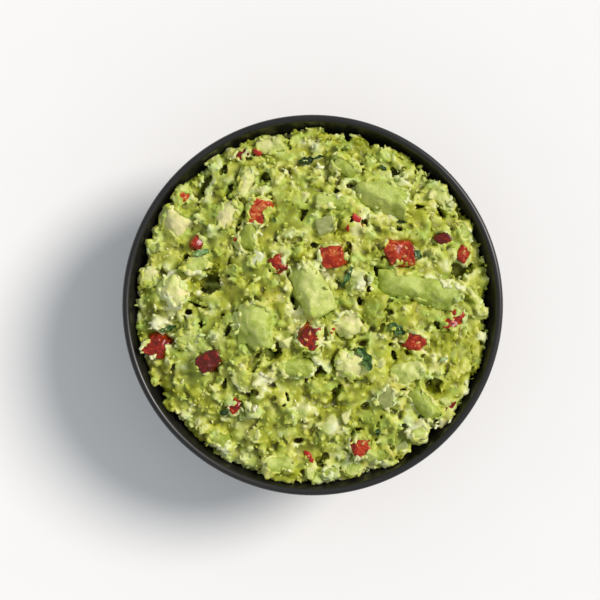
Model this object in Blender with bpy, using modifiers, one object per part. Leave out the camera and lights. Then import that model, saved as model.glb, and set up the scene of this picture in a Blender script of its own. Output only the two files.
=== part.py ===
"""Chunky guacamole in its serving bowl.

A turned charcoal bowl holds a lumpy heap of mashed avocado. Cut avocado, diced tomato and
diced onion stand half sunk in it, each piece in a pocket of its own. The origin is the
middle of the bowl's foot, +Z is up, and lengths are in metres.
"""

import math
import random

import bmesh
import bpy
from mathutils import Euler, Vector, noise

MM = 0.001

# Bowl
RIM_RADIUS = 0.070
BOWL_HEIGHT = 0.054
WALL = 0.0028
LIP_Z = BOWL_HEIGHT - WALL / 2
FOOT_RADIUS = 0.031
FOOT_HEIGHT = 0.002
FLOOR_HEIGHT = 0.0055
FLOOR_RADIUS = 0.024
CONE_SHARE = 0.24
ROUND_STEPS = 56
SIDE_STEPS = 6
LIP_STEPS = 4

# Heap of mash
GAP = 0.0003
POCKET_GAP = 0.0004
HEAP_RADIUS = 0.0645
CROWN_HEIGHT = 0.0075
SHOULDER_DEPTH = 0.0042
CONTACT_DEPTH = 0.0150
HEAP_RINGS = 13
UNDER_STEPS = 4
EDGE_WAVE = 0.0015
# Cell size and height of the lumps, the clods first and then the smaller ones on them.
LUMPS = ((0.0150, 0.0034), (0.0075, 0.0018))
LUMP_MEAN = 0.3

# Mounds and hollows of the heap in millimetres: x, y, radius, height.
SWELLS = (
    (-24.0, 9.0, 8.0, 3.0),
    (-24.0, -25.0, 8.0, 3.0),
    (30.0, -34.0, 9.0, 1.5),
    (52.0, -22.0, 9.0, 1.5),
    (-46.0, -28.0, 10.0, 1.0),
    (12.0, 57.0, 8.0, 1.0),
    (-37.0, 6.5, 4.0, -4.5),
    (54.5, 14.5, 4.5, -4.5),
    (-41.0, 43.0, 4.0, -3.0),
    (-20.0, -17.0, 4.0, -3.5),
    (43.0, -30.0, 3.5, -3.0),
    (-61.0, -8.0, 3.5, -2.5),
    (-9.0, 61.5, 2.5, -3.5),
)

# Diced tomato in millimetres and degrees: x, y, length, width, turn.
TOMATO_DICE = (
    (-26.4, 55.6, 7.0, 4.6, 25),
    (-47.8, 40.0, 5.6, 5.2, 40),
    (-19.0, 34.6, 8.6, 8.2, 70),
    (-42.2, 22.9, 5.2, 4.4, 60),
    (-12.4, 15.2, 7.2, 5.2, -55),
    (7.4, 17.7, 8.6, 8.0, 10),
    (31.6, 18.8, 10.2, 9.4, 5),
    (47.4, 24.4, 5.4, 5.2, 30),
    (55.4, 18.8, 6.8, 5.0, 75),
    (-1.4, -11.4, 9.0, 8.0, 80),
    (-57.0, -14.4, 9.0, 8.4, -25),
    (-37.8, -20.5, 8.4, 7.6, 35),
    (-28.6, -36.6, 5.6, 4.6, 50),
    (37.2, -13.1, 7.8, 7.0, 55),
    (51.8, -5.8, 7.6, 6.6, 65),
    (17.4, -51.2, 8.2, 7.4, 25),
    (50.2, -37.4, 5.2, 3.4, 52),
)

# Diced onion, in the same order.
ONION_DICE = (
    (4.6, 29.0, 7.0, 6.4, 20),
    (-19.8, 17.0, 5.2, 4.4, 60),
    (27.8, -33.0, 7.0, 6.2, 55),
    (-21.6, -37.6, 5.2, 4.8, 10),
    (33.0, -52.8, 5.4, 4.0, 35),
)

# Cut avocado in millimetres and degrees: x, y, length, width, height, turn, ridge.
# A ridge of 0 is a block, and a ridge of 1 is a wedge with a sharp edge on top.
AVOCADO = (
    (-15.2, 58.8, 10.2, 7.2, 7.0, 10, 0.3),
    (-24.0, 44.6, 11.4, 6.8, 8.0, 70, 0.5),
    (-31.0, 33.0, 9.6, 8.4, 7.0, 45, 0.3),
    (12.0, 50.4, 10.6, 8.2, 8.0, -30, 0.4),
    (25.6, 39.4, 18.0, 14.4, 10.0, -16, 0.5),
    (7.2, 37.4, 11.6, 7.0, 7.0, -5, 0.4),
    (46.6, 40.6, 10.4, 5.8, 7.0, -49, 0.2),
    (-50.2, 30.4, 12.6, 10.2, 9.0, -40, 0.15),
    (-58.4, 21.6, 5.6, 4.0, 5.0, 70, 0.2),
    (-60.2, 9.8, 7.2, 6.8, 6.0, 80, 0.2),
    (-50.6, 5.4, 11.2, 10.6, 8.5, -60, 0.15),
    (-41.8, 14.4, 10.0, 6.4, 6.0, 15, 0.3),
    (-23.4, 24.6, 9.4, 7.2, 7.5, 75, 0.2),
    (0.2, 5.0, 19.0, 14.0, 11.0, -63, 0.35),
    (38.8, 6.0, 28.0, 11.2, 8.0, -13, 0.35),
    (60.0, 1.2, 13.6, 5.0, 7.0, -62, 0.6),
    (-20.8, -7.6, 15.2, 15.0, 10.5, 90, 0.3),
    (-34.0, -49.2, 10.4, 7.4, 7.0, -35, 0.4),
    (-12.2, -58.4, 11.4, 8.4, 7.5, 10, 0.3),
    (12.8, -7.4, 11.2, 8.8, 7.0, 20, 0.15),
    (13.6, -21.2, 10.6, 9.4, 7.5, -15, 0.2),
    (41.0, -36.4, 14.6, 7.8, 8.0, -50, 0.3),
    (-5.0, -22.4, 12.4, 7.4, 7.0, 0, 0.3),
    (34.2, -24.2, 12.0, 9.4, 7.5, 30, 0.15),
    (-46.0, -12.0, 8.4, 7.4, 6.0, 30, 0.2),
    (25.8, -54.8, 7.4, 6.0, 6.0, 25, 0.3),
    (6.6, -61.7, 6.4, 6.2, 6.0, 0, 0.1),
    (14.4, -60.2, 6.6, 6.2, 6.0, 10, 0.1),
    (38.8, -46.4, 8.0, 6.4, 6.5, 45, 0.2),
    (55.6, 27.2, 6.4, 5.4, 6.0, -60, 0.2),
)

DICE_PROUD = 0.42
AVOCADO_PROUD = 0.45
DICE_BEVEL = 0.15
AVOCADO_BEVEL = 0.28
UNEVEN = 0.14
LEAN = 0.20
BIG_BLOCK = 0.0145


def new_material(name, color, roughness):
    material = bpy.data.materials.new(name)
    material.use_nodes = True
    shader = material.node_tree.nodes["Principled BSDF"]
    shader.inputs["Base Color"].default_value = (*color, 1.0)
    shader.inputs["Roughness"].default_value = roughness
    return material


def new_collection(name):
    collection = bpy.data.collections.new(name)
    bpy.context.scene.collection.children.link(collection)
    return collection


def add_object(name, bm, collection, material):
    mesh = bpy.data.meshes.new(name)
    bm.to_mesh(mesh)
    bm.free()
    if material:
        mesh.materials.append(material)
    mesh.shade_smooth()
    mesh.set_sharp_from_angle(angle=math.radians(40))
    obj = bpy.data.objects.new(name, mesh)
    collection.objects.link(obj)
    return obj


def side_radius(z, base_z, base_radius, top_radius):
    """Radius at height z of a bowl's side: a quarter ellipse that leans out like a cone."""
    t = min(1.0, max(0.0, (z - base_z) / (LIP_Z - base_z)))
    ellipse = math.sqrt(1.0 - (1.0 - t) ** 2)
    return base_radius + (top_radius - base_radius) * ((1.0 - CONE_SHARE) * ellipse + CONE_SHARE * t)


def side_points(base_z, base_radius, top_radius, top_z, steps):
    """Points up a side from its base to top_z, close together where it curves most."""
    points = []
    for step in range(steps + 1):
        share = (step / steps) ** 1.7
        z = base_z + (top_z - base_z) * share
        points.append((side_radius(z, base_z, base_radius, top_radius), z))
    return points


def build_bowl(collection, material):
    """The wall's closed outline, turned about Z: up the inside, over the lip, down the outside."""
    inside = side_points(FLOOR_HEIGHT, FLOOR_RADIUS, RIM_RADIUS - WALL, LIP_Z, SIDE_STEPS)
    outside = side_points(FOOT_HEIGHT, FOOT_RADIUS, RIM_RADIUS, LIP_Z, SIDE_STEPS)
    profile = [(0.0, FLOOR_HEIGHT)] + inside
    for step in range(1, LIP_STEPS):
        angle = math.pi * (1.0 - step / LIP_STEPS)
        radius = RIM_RADIUS - WALL / 2 + WALL / 2 * math.cos(angle)
        profile.append((radius, LIP_Z + WALL / 2 * math.sin(angle)))
    profile += outside[::-1]
    profile += [(FOOT_RADIUS - 0.0004, 0.0), (0.0, 0.0)]

    bm = bmesh.new()
    corners = [bm.verts.new((radius, 0.0, z)) for radius, z in profile]
    for first, second in zip(corners, corners[1:]):
        bm.edges.new((first, second))
    bowl = add_object("bowl", bm, collection, material)
    turn = bowl.modifiers.new("Turn", "SCREW")
    turn.steps = ROUND_STEPS
    turn.render_steps = ROUND_STEPS
    turn.use_merge_vertices = True
    turn.merge_threshold = 0.00001
    turn.use_smooth_shade = True
    return bowl


def heap_height(x, y):
    """Height of the mash's top: a low dome with mounds, hollows and lumps on it."""
    share = min(1.0, math.hypot(x, y) / HEAP_RADIUS)
    height = BOWL_HEIGHT - SHOULDER_DEPTH + (CROWN_HEIGHT + SHOULDER_DEPTH) * (1.0 - share**2.4)
    for cx, cy, radius, rise in SWELLS:
        distance = math.hypot(x - cx * MM, y - cy * MM) / (radius * MM)
        height += rise * MM * math.exp(-distance * distance)
    for layer, (size, rise) in enumerate(LUMPS):
        near = noise.voronoi(Vector((x / size, y / size, 3.7 + layer)))[0]
        height += rise * (near[1] - near[0] - LUMP_MEAN)
    return height


def edge_share(x, y):
    """How far the heap's edge wanders in or out, as a share of its radius."""
    angle = math.atan2(y, x)
    wave = noise.noise(Vector((2.6 * math.cos(angle), 2.6 * math.sin(angle), 8.2)))
    return 1.0 + wave * 2.0 * EDGE_WAVE / HEAP_RADIUS


def build_heap(collection, material):
    """The mash: a turned body that fills the bowl, then its top raised to heap_height."""
    contact_z = BOWL_HEIGHT - CONTACT_DEPTH
    under = side_points(FLOOR_HEIGHT, FLOOR_RADIUS, RIM_RADIUS - WALL, contact_z, UNDER_STEPS)
    profile = [(HEAP_RADIUS * ring / HEAP_RINGS, BOWL_HEIGHT) for ring in range(HEAP_RINGS + 1)]
    profile += [(radius - GAP, z + GAP) for radius, z in under[::-1]]
    profile.append((0.0, FLOOR_HEIGHT + GAP))

    bm = bmesh.new()
    corners = [bm.verts.new((radius, 0.0, z)) for radius, z in profile]
    edges = [bm.edges.new(pair) for pair in zip(corners, corners[1:])]
    bmesh.ops.spin(
        bm, geom=corners + edges, axis=(0, 0, 1), cent=(0, 0, 0), steps=ROUND_STEPS, angle=2 * math.pi
    )
    bmesh.ops.remove_doubles(bm, verts=bm.verts, dist=0.00001)
    bmesh.ops.recalc_face_normals(bm, faces=bm.faces)
    for vert in bm.verts:
        if vert.co.z < BOWL_HEIGHT - GAP:
            continue
        share = math.hypot(vert.co.x, vert.co.y) / HEAP_RADIUS
        scale = 1.0 + (edge_share(vert.co.x, vert.co.y) - 1.0) * share**6
        vert.co.x *= scale
        vert.co.y *= scale
        vert.co.z = heap_height(vert.co.x, vert.co.y)
    bmesh.ops.triangulate(bm, faces=bm.faces)
    return add_object("guacamole", bm, collection, material)


def block_mesh(size, ridge, bevel, skew, grow):
    """A block cut by six flat faces that aren't square to each other, its ridge narrowing its top."""
    bm = bmesh.new()
    bmesh.ops.create_cube(bm, size=1.0)
    for vert in bm.verts:
        x, y, z = vert.co
        x *= 1.0 + skew.x * z
        y *= 1.0 - ridge * (0.5 + z)
        x += skew.y * y + skew.z * z
        y += skew.x * z
        vert.co = Vector(co * (side + 2 * grow) for co, side in zip((x, y, z), size))
    if bevel:
        bmesh.ops.bevel(
            bm,
            geom=bm.edges[:],
            offset=bevel * min(size.z, size.y * (1.0 - ridge)),
            segments=2 if size.x > BIG_BLOCK else 1,
            profile=0.5,
            affect="EDGES",
            clamp_overlap=True,
        )
    bmesh.ops.triangulate(bm, faces=bm.faces)
    return bm


def add_piece(name, at, size, ridge, bevel, proud, turn, parts, pockets, material):
    """A piece with eased edges leaning in the heap, and the cutter of its slightly larger pocket."""
    rng = random.Random(name)
    skew = Vector(rng.uniform(-UNEVEN, UNEVEN) for _ in range(3))
    lean = Euler((rng.uniform(-LEAN, LEAN), rng.uniform(-LEAN, LEAN), math.radians(turn)))
    x, y = at[0] * MM, at[1] * MM
    piece = add_object(name, block_mesh(size, ridge, bevel, skew, 0.0), parts, material)
    cutter = add_object(f"{name}_pocket", block_mesh(size, ridge, 0.0, skew, POCKET_GAP), pockets, None)
    for obj in (piece, cutter):
        obj.location = (x, y, heap_height(x, y) + (proud - 0.5) * size.z)
        obj.rotation_euler = lean


def build_dice(name, table, parts, pockets, material):
    for number, (x, y, length, width, turn) in enumerate(table, start=1):
        size = Vector((length, width, (length + width) / 2)) * MM
        add_piece(
            f"{name}_{number:02d}", (x, y), size, 0.0, DICE_BEVEL, DICE_PROUD, turn,
            parts, pockets, material,
        )


def build_avocado(parts, pockets, material):
    for number, (x, y, length, width, height, turn, ridge) in enumerate(AVOCADO, start=1):
        size = Vector((length, width, height)) * MM
        add_piece(
            f"avocado_{number:02d}", (x, y), size, ridge, AVOCADO_BEVEL, AVOCADO_PROUD, turn,
            parts, pockets, material,
        )


def main():
    for obj in list(bpy.data.objects):
        bpy.data.objects.remove(obj, do_unlink=True)
    parts = new_collection("guacamole_bowl")
    pockets = new_collection("pockets")

    build_bowl(parts, new_material("charcoal", (0.018, 0.017, 0.016), 0.34))
    heap = build_heap(parts, new_material("mash", (0.42, 0.55, 0.11), 0.5))
    build_avocado(parts, pockets, new_material("avocado", (0.48, 0.64, 0.2), 0.45))
    build_dice("tomato", TOMATO_DICE, parts, pockets, new_material("tomato", (0.45, 0.02, 0.01), 0.25))
    build_dice("onion", ONION_DICE, parts, pockets, new_material("onion", (0.5, 0.6, 0.35), 0.3))

    for cutter in pockets.objects:
        cutter.hide_render = True
        cutter.display_type = "WIRE"
    cut = heap.modifiers.new("Pockets", "BOOLEAN")
    cut.operation = "DIFFERENCE"
    cut.operand_type = "COLLECTION"
    cut.collection = pockets
    cut.solver = "EXACT"


main()
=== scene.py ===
"""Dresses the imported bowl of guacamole: satin bowl, crumbly mash, cut avocado, tomato, onion and herbs.

The mash and the cut pieces are shaped as distance fields on grids of samples and then meshed.
Fields are in millimetres. Objects are in metres, in the frame of the CAD.
"""
import math

import bmesh
import bpy
import numpy as np
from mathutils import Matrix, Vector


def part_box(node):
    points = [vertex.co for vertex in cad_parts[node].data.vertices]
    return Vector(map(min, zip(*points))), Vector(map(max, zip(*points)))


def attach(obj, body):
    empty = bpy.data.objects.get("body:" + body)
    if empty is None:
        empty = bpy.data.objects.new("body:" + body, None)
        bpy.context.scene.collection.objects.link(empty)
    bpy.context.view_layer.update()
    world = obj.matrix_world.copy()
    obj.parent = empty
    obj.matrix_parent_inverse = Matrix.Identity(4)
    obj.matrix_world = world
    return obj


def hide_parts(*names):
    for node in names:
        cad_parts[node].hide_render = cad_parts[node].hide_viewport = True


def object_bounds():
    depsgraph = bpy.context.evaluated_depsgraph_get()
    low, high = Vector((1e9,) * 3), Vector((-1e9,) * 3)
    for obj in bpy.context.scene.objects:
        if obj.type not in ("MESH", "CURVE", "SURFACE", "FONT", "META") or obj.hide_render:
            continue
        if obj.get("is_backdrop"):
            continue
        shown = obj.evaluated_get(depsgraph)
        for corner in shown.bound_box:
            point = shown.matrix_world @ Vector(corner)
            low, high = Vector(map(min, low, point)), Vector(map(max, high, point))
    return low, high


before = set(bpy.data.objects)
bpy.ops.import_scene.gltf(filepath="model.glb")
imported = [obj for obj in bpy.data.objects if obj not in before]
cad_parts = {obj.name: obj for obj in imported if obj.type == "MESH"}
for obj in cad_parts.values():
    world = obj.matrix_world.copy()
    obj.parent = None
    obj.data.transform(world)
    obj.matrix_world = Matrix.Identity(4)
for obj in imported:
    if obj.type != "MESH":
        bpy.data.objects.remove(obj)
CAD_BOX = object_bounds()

import openvdb
from mathutils import Quaternion, Vector, noise

MM = 0.001
WELD = 0.000001

# Bowl, as in the CAD
RIM_RADIUS = 70.0
BOWL_HEIGHT = 54.0
WALL = 2.8
LIP_Z = BOWL_HEIGHT - WALL / 2
FOOT_RADIUS = 31.0
FOOT_HEIGHT = 2.0
FLOOR_HEIGHT = 5.5
FLOOR_RADIUS = 24.0
CONE_SHARE = 0.24
BOWL_TURNS = 192
UNDER_TURNS = 48
CROWDING = 1.7  # Crowds a wall's rings towards its foot

# Heap, as in the CAD
HEAP_RADIUS = 64.5
CROWN_HEIGHT = 7.5
SHOULDER_DEPTH = 4.2
DOME_POWER = 2.4
EDGE_WAVE = 1.5
EDGE_WAVES = 2.6
EDGE_SEED = 8.2
LUMPS = ((15.0, 3.4), (7.5, 1.8))
LUMP_MEAN = 0.3
LUMP_SEED = 3.7

# Broad swells and hollows of the heap: x, y, radius, rise.
SWELLS = (
    (-24, 9, 8, 3), (-24, -25, 8, 3), (30, -34, 9, 1.5), (52, -22, 9, 1.5), (-46, -28, 10, 1),
    (12, 57, 8, 1), (-37, 6.5, 4, -4.5), (54.5, 14.5, 4.5, -4.5), (-41, 43, 4, -3), (-20, -17, 4, -3.5),
    (43, -30, 3.5, -3), (-61, -8, 3.5, -2.5), (-9, 61.5, 2.5, -3.5),
)

# Mash
STEP = 0.45
FAR = 9.0
MASH_BOTTOM = 38.0
MASH_TOP = 66.4
MASH_FACES = 190000
MASH_HOLLOW = 1.8  # Reach of the mean that tells how hollow a place is
PASTE_DEPTH = 1.2
PASTE_TINT = 0.35
CONTACT_Z = 39.0
WALL_GAP = 0.3
END_GAP = 0.6
COARSE_ROUGHNESS = 0.22
FINE_ROUGHNESS = 0.08
HOLLOW_ROUGHNESS = 0.55
HOLLOW_SPACING = 5.5
SKIPPED_HOLLOWS = 0.94
SKIPPED_LUMPS = 0.1
SKIPPED_CRUMBS = 0.5

# Layers of lumps: spacing, radii, melt, uneven height, bluntness, spread of tints.
LUMP_LAYERS = (
    (9.6, (4.8, 7.4), 0.8, 2.0, 0.14, 0.22),
    (5.8, (2.6, 4.4), 0.7, 1.0, 0.13, 0.18),
    (4.0, (1.4, 2.4), 0.5, 0.5, 0.12, 0.14),
)

# Grains: spacing, radii, melt, how far they are sunk as a share of the radius.
COARSE_GRAINS = (2.3, (0.9, 1.7), 0.3, 0.66)
FINE_GRAINS = (1.4, (0.5, 0.95), 0.2, 0.58)

# Clefts between the clods: x, y, length, width, turn in degrees, depth. Half the length and width of
# the hollow are these shares of the table's, and half its depth is this much more.
CLEFT_LENGTH = 0.68
CLEFT_WIDTH = 0.8
CLEFT_SINK = 2.4
CLEFTS = (
    (-9.1, 61.4, 6, 1.4, 90, 4), (-33, 49, 4, 2, 40, 3), (-30.4, 42, 3.5, 1.8, 70, 3),
    (-40.7, 42.3, 9, 2.8, 65, 4), (-16.9, 47.1, 4, 2.4, 20, 3), (14, 43.1, 4.5, 1.6, -35, 3),
    (30.5, 49.3, 5, 1.8, -45, 3), (39, 36.1, 5, 1.4, 0, 3), (-62, 17.7, 4.5, 2.4, 75, 4),
    (-46.2, 17.7, 4, 2, 20, 3), (-37.1, 7.8, 8, 5.5, 15, 5), (-26.4, 27.5, 4, 3, 90, 3.5),
    (-30.1, 17.4, 4, 1.8, 60, 3), (-6.4, 2.7, 5, 2.2, 80, 4), (-3.4, 33.4, 5, 1.8, 80, 3.5),
    (0.5, 21.5, 4.5, 2, 60, 3), (14.4, 32.4, 4, 2, 50, 3.5), (18.4, 31, 4, 2, -40, 3.5),
    (31.2, 28.2, 4.5, 1.8, 0, 3), (12.5, 20.2, 4.5, 1.8, 80, 3), (17.5, 0.8, 3.5, 1.6, 70, 3),
    (28, -2, 4, 1.4, 10, 2.5), (54.4, 13.9, 8, 5, 50, 5), (-14.8, -16.8, 6.5, 4, 20, 5),
    (-30.8, -9.8, 4, 2, 60, 3.5), (-31.6, -27, 5, 1.4, 50, 3), (-23.8, -32.6, 4, 2, 20, 3.5),
    (-44.8, -2.5, 4, 1.8, 30, 3), (-9.9, -35.5, 4, 1.6, 80, 3), (18, -13.8, 3.5, 1.8, 30, 3),
    (29, -17, 5, 1.4, -60, 3), (34, -31, 3.5, 2, 30, 3), (44.6, -29.4, 6.5, 3.4, -25, 4),
    (1.8, -23.4, 3.5, 2.6, 90, 4), (3.3, -56.6, 4, 2.4, 60, 3.5), (8, -34, 4.5, 1.6, 85, 3),
    (-6, -50, 4, 1.6, 10, 3), (48, 33.5, 4, 1.8, -50, 3), (24, -43, 4, 1.6, 60, 3),
    (56, -14, 4, 1.8, 70, 3),
)

# Cut pieces
MAIN_FACES = 12
PIECE_FACES = 3500
PIECE_HOLLOW = 1.6
PIECE_MARGIN = 1.2
SOCKET_DEPTH = 0.65  # How far the mash reaches into a piece, to leave no gap

# Cut avocado: how far from the green skin side the flesh is, and how much mash sticks to it.
AVOCADO_LOOKS = (
    (0.70, 0.35), (0.75, 0.45), (0.88, 0.42), (0.12, 0.45), (0.38, 0.20), (0.24, 0.35),
    (0.52, 0.45), (0.85, 0.42), (0.32, 0.50), (0.78, 0.45), (0.80, 0.42), (0.45, 0.50),
    (0.02, 0.35), (0.46, 0.16), (0.24, 0.28), (0.74, 0.35), (0.26, 0.32), (0.05, 0.50),
    (0.30, 0.45), (0.80, 0.42), (0.82, 0.48), (0.18, 0.30), (0.20, 0.35), (0.48, 0.40),
    (0.42, 0.45), (0.15, 0.45), (0.38, 0.45), (0.52, 0.45), (0.42, 0.45), (0.20, 0.55),
)

# Ridges on some of the cut avocado, by node number: way down, slope to that side, slope to the other.
RIDGES = {
    3: (-70, 20, 10), 5: (-112, 46, 12), 8: (-60, 22, 8), 14: (-25, 30, 14), 15: (-105, 28, 8),
    16: (200, 30, 10), 17: (-135, 34, 16), 20: (-80, 26, 8), 21: (-60, 24, 10), 22: (-130, 32, 14),
    23: (-50, 24, 10), 24: (-110, 26, 12),
}

# Diced tomato: how dark it is, and how much mash sticks to it.
TOMATO_LOOKS = (
    (0.85, 0.30), (0.45, 0.70), (0.45, 0.40), (0.55, 0.12), (0.80, 0.42), (0.56, 0.22),
    (0.60, 0.18), (1.05, 0.30), (0.60, 0.48), (0.68, 0.28), (0.78, 0.24), (1.02, 0.16),
    (0.66, 0.38), (0.64, 0.32), (0.55, 0.58), (0.62, 0.44), (0.88, 0.45),
)

# Diced onion: how pale it is, and how much mash sticks to it.
ONION_LOOKS = ((0.45, 0.28), (0.88, 0.18), (0.25, 0.32), (0.00, 0.38), (0.48, 0.32))

# Loose stones: how fine their balls are, and how they are stretched.
CRUMB_FINENESS, CRUMB_STRETCH = 2, (1.7, 1.0, 0.7)
BIT_FINENESS, BIT_STRETCH = 4, (1.2, 1.0, 0.8)

# Kinds of cut piece: looks, seed, cuts across the corners, their depths, step, melt, wave.
KINDS = {
    "avocado": (AVOCADO_LOOKS, 7, 3, (0.10, 0.26), 0.42, 0.30, 0.26),
    "tomato": (TOMATO_LOOKS, 5, 3, (0.08, 0.22), 0.40, 0.22, 0.24),
    "onion": (ONION_LOOKS, 3, 2, (0.08, 0.20), 0.40, 0.20, 0.12),
}

# Small pieces that lie loose: x, y, radius, tint.
AVOCADO_BITS = (
    (-9.5, -13.8, 2.9, 0.85), (-0.7, -61.3, 3, 0.60), (24.2, -21.5, 2.4, 0.80), (-3, 40, 2.2, 0.70),
    (44, 40.5, 2.3, 0.85), (21.5, -55, 2.4, 0.45), (12, -40.5, 2, 0.75), (-58, 8.5, 2.2, 0.55),
    (36, -26.5, 2, 0.40), (49, -35.5, 2.2, 0.60), (-20, -48, 1.9, 0.70),
)
TOMATO_BITS = (
    (15.8, 31.3, 1.5, 0.35), (12.5, 27.9, 1.3, 0.30), (18, 28.8, 1, 0.45), (-1.8, -55, 1.5, 0.30),
    (-0.6, -57.2, 1.1, 0.40), (-20.4, 56, 1.5, 0.85), (7, -9, 1, 0.45), (-28, 24, 0.9, 0.55),
)
ONION_BITS = (
    (51.5, 37.2, 1.4, 0.5), (-5, 14, 1.1, 0.5), (9, -20.5, 1.3, 0.5), (-47, -14.5, 1.1, 0.5),
)

# Seeds on the diced tomato: number of the die, x and y from its middle, turn in degrees.
SEED_LENGTH, SEED_WIDTH, SEED_HEIGHT = 1.8, 1.0, 0.6
SEEDS = (
    (5, 1.2, -0.9, 30), (7, -1.8, 1.9, 70), (7, 1.6, -1.2, 10), (7, 2.2, 1.8, 130), (10, 0.3, 1.4, 80),
    (10, -1.1, -1, 150), (14, 0.9, -0.6, 20), (9, 0.4, 0.8, 60), (13, -0.3, 0.5, 110), (16, 1.2, 0.9, 45),
    (15, -0.8, 0.6, 160),
)

# Chopped herb: x, y, length, width, turn in degrees, how pale.
# A leaf rests on the highest mash under it and this far to its sides.
LEAF_FEET = (-0.9, 0, 0.9)
LEAF_THICKNESS = 0.3
LEAVES = (
    (-2.2, 53, 5.6, 3.6, 10, 0.15), (2.4, 54.4, 3.6, 1.4, 15, 0.35), (12.5, 10, 8.4, 2.4, 62, 0.45),
    (38.2, 18.5, 4, 3.4, -40, 0.35), (30.5, -8.7, 6.6, 4.6, -35, 0.45), (19.1, -19, 9.5, 4.6, -62, 0.50),
    (-32.3, -39.2, 3.6, 2.6, 25, 0.40), (-52.9, -8.7, 6.4, 2.4, 18, 0.40), (-40.7, 19.2, 6.2, 3, 15, 0.75),
    # The almost white leaf at (47.8, -19.7) is a painted highlight.
    (23.9, -46.5, 3, 2.4, 80, 0.30), (47.8, -19.7, 3.4, 1.6, 20, 0.95), (26, 50.5, 3.2, 1.5, -30, 0.25),
    (-24, 23, 2.6, 1.4, 50, 0.30), (32.5, 30.5, 3.6, 1.3, -5, 0.10), (-14, 31, 2.4, 1.2, 120, 0.35),
)

# Camera and light
SPAN = 220.0
AIM = (-4.65, 1.87)
LENS = 80.0
SENSOR = 36.0
FARTHEST = 10.0
KEY_FROM = (0.651, 0.305, 0.694)
KEY_SPREAD = 21.0
KEY_STRENGTH = 2.8
KEY_COLOR = "#FFF9F4"
SKY_STRENGTH = 0.51
SKY_COLOR = "#F0F8FF"
FLOOR_SIDE = 3.0
FLOOR_Z = -0.0001

# ---- fields


def spline_rows(count, cells):
    """Weights that spread lattice values, cells apart, over count samples as a smooth curve."""
    places = np.arange(count) / cells
    first = np.floor(places).astype(int)
    t = places - first
    weights = np.zeros((count, first[-1] + 4), np.float32)
    parts = ((1 - t) ** 3, 3 * t**3 - 6 * t**2 + 4, -3 * t**3 + 3 * t**2 + 3 * t + 1, t**3)
    for k, part in enumerate(parts):
        weights[np.arange(count), first + k] = part / 6
    return weights


def cloud(shape, cells, rng):
    """Smooth noise of unit spread over a grid, its features about cells samples wide."""
    rows = [spline_rows(count, cells) for count in shape]
    values = rng.standard_normal([row.shape[1] for row in rows]).astype(np.float32)
    for axis, row in enumerate(rows):
        values = np.moveaxis(np.tensordot(row, values, axes=(1, axis)), 0, axis)
    return values / values.std()


class Field:
    """How far each sample of a block of space is outside some matter, and the matter's tint there."""

    def __init__(self, low, high, step):
        self.low = np.array(low, float)
        self.step = step
        self.shape = tuple(np.ceil((np.array(high) - self.low) / step).astype(int) + 1)
        self.distance = np.full(self.shape, FAR, np.float32)
        self.tint = np.zeros(self.shape, np.float32)

    def axis(self, k, first=0, last=None):
        """Places of the samples along axis k."""
        last = self.shape[k] if last is None else last
        return (self.low[k] + self.step * np.arange(first, last)).astype(np.float32)

    def near(self, centre, reach):
        """Slices of the samples within reach of centre, and their places as three axes; or two Nones."""
        first = np.floor((centre - reach - self.low) / self.step).astype(int).clip(0)
        last = np.minimum(np.ceil((centre + reach - self.low) / self.step).astype(int) + 1, self.shape)
        if (last - first < 2).any():
            return None, None
        x, y, z = (self.axis(k, first[k], last[k]) for k in range(3))
        where = tuple(slice(a, b) for a, b in zip(first, last))
        return where, (x[:, None, None], y[None, :, None], z[None, None, :])

    def add(self, where, distance, tint, melt):
        """Joins matter on, with fillets of about the size melt."""
        old = self.distance[where]
        share = np.clip(0.5 + 0.5 * (old - distance) / melt, 0, 1)
        self.tint[where] = np.where(share > 0.5, tint, self.tint[where])
        self.distance[where] = old + (distance - old) * share - melt * share * (1 - share)

    def cut(self, where, distance, melt):
        """Takes away the matter where distance is negative."""
        old = self.distance[where]
        share = np.clip(0.5 - 0.5 * (old + distance) / melt, 0, 1)
        self.distance[where] = old - (distance + old) * share + melt * share * (1 - share)

    def surface(self):
        """Points, in samples, and triangles of the zero surface."""
        padded = np.pad(self.distance, 1, constant_values=self.step)
        grid = openvdb.FloatGrid(self.step)
        grid.copyFromArray(np.clip(padded, -2 * self.step, 2 * self.step))
        points, _, quads = grid.convertToPolygons(0.0, 0.0)
        return points.astype(np.float64) - 1.0, np.concatenate([quads[:, [0, 1, 2]], quads[:, [0, 2, 3]]])

    def at(self, values, points):
        """Values of a grid at points given in samples, blended from the eight nearest."""
        base = np.floor(points).astype(int).clip(0, np.array(self.shape) - 2)
        t = np.clip(points - base, 0, 1)
        total = np.zeros(len(points))
        for corner in np.ndindex(2, 2, 2):
            weight = np.prod(np.where(corner, t, 1 - t), axis=1)
            total += weight * values[tuple((base + corner).T)]
        return total

    def index(self, place):
        """The sample at or just below a place."""
        return tuple(((place - self.low) / self.step).astype(int))

    def mesh(self, name, material, faces, hollow_reach):
        """An object of the field's surface, with its tint and how much matter is around each point. The mash
        and avocado materials use that measure to paint shade into hollows, and the mash also uses it to paint
        light onto crests.
        """
        points, triangles = self.surface()
        obj = mesh_object(name, (points * self.step + self.low) * MM, triangles, material)
        add_attribute(obj, "tint", self.at(self.tint, points))
        around = box_blur((self.distance < 0).astype(np.float32), round(hollow_reach / self.step))
        add_attribute(obj, "hollow", self.at(around, points))
        decimate(obj, faces)
        return obj


def box_blur(values, reach):
    """Mean of the values within reach samples along each axis."""
    for axis in range(3):
        margin = [(reach + 1, reach) if k == axis else (0, 0) for k in range(3)]
        total = np.cumsum(np.pad(values, margin, mode="edge"), axis=axis, dtype=np.float64)
        upper = np.take(total, range(2 * reach + 1, total.shape[axis]), axis=axis)
        lower = np.take(total, range(0, total.shape[axis] - 2 * reach - 1), axis=axis)
        values = ((upper - lower) / (2 * reach + 1)).astype(np.float32)
    return values


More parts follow.
